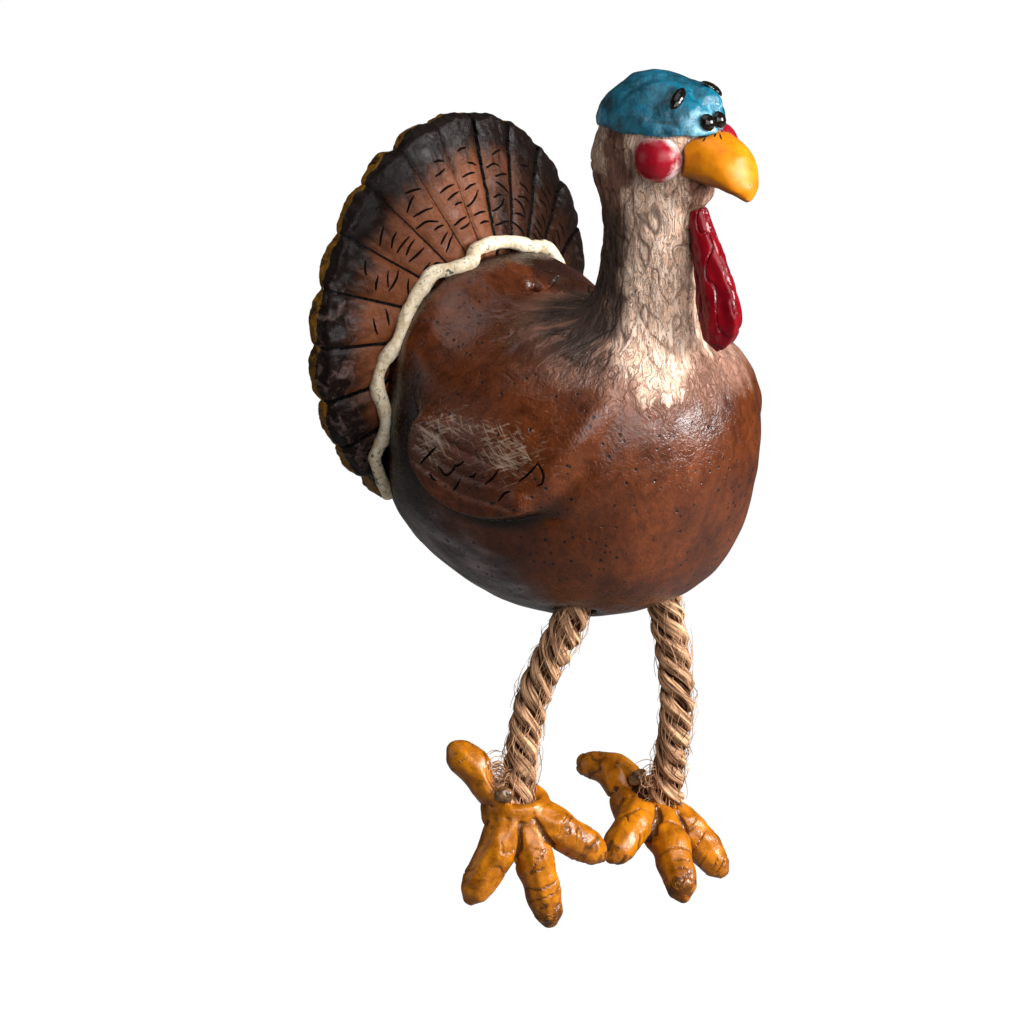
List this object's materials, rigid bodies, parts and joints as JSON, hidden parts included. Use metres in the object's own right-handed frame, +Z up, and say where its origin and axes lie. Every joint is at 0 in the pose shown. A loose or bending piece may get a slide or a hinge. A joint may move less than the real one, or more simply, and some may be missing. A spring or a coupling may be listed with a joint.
{
  "type": "turkey ornament",
  "caption": "Hanging cast-resin turkey ornament with a fanned tail, a long neck with a blue cap, red wattle and cheeks, and loose jute-rope legs that carry splayed resin feet.",
  "frame": {"origin": "mouth of the hanger hole on the bird's back, in the middle plane", "axes": "+Z up, -Y the way the bird faces, +X the bird's left"},
  "size_m": [0.0478, 0.0503, 0.1009],
  "materials": {
    "painted_resin": "hand-painted cast resin, satin, brown with dark wash",
    "blue_paint_resin": "satin painted resin",
    "orange_paint_resin": "satin painted resin",
    "red_gloss_resin": "gloss painted resin",
    "black_gloss_resin": "gloss black paint",
    "cream_paint_resin": "matte painted resin",
    "ochre_paint_resin": "satin painted resin with brown wash",
    "jute_rope": "three-strand laid jute",
    "hot_glue": "clear-drying glue, cloudy"
  },
  "bodies": {
    "body": {"body_casting": "painted_resin", "head_cap": "blue_paint_resin", "beak": "orange_paint_resin", "wattle": "red_gloss_resin", "cheek_right": "red_gloss_resin", "cheek_left": "red_gloss_resin", "eye_right": "black_gloss_resin", "eye_left": "black_gloss_resin", "brow_right": "black_gloss_resin", "brow_left": "black_gloss_resin", "wing_right": "painted_resin", "wing_left": "painted_resin", "tail_fan": "painted_resin", "tail_band": "cream_paint_resin"},
    "right_leg": {"right_leg_rope": "jute_rope"},
    "left_leg": {"left_leg_rope": "jute_rope"},
    "right_foot": {"right_foot": "ochre_paint_resin", "right_foot_glue": "hot_glue"},
    "left_foot": {"left_foot": "ochre_paint_resin", "left_foot_glue": "hot_glue"}
  },
  "joints": [
    {"name": "right_hip", "type": "hinge", "parent": "body", "child": "right_leg", "pos_m": [-0.0082, -0.013, -0.03517], "axis": [1, 0, 0], "range_deg": [-30, 30], "stiffness_Nm_per_rad": 0.0015, "deforming": ["right_leg_rope"]},
    {"name": "right_ankle", "type": "hinge", "parent": "right_leg", "child": "right_foot", "pos_m": [-0.011, -0.0072, -0.05507], "axis": [1, 0, 0], "range_deg": [-25, 25], "stiffness_Nm_per_rad": 0.0008, "deforming": ["right_leg_rope"]},
    {"name": "left_hip", "type": "hinge", "parent": "body", "child": "left_leg", "pos_m": [0.0082, -0.013, -0.03517], "axis": [1, 0, 0], "range_deg": [-30, 30], "stiffness_Nm_per_rad": 0.0015, "deforming": ["left_leg_rope"]},
    {"name": "left_ankle", "type": "hinge", "parent": "left_leg", "child": "left_foot", "pos_m": [0.011, -0.0114, -0.05847], "axis": [1, 0, 0], "range_deg": [-25, 25], "stiffness_Nm_per_rad": 0.0008, "deforming": ["left_leg_rope"]}
  ]
}
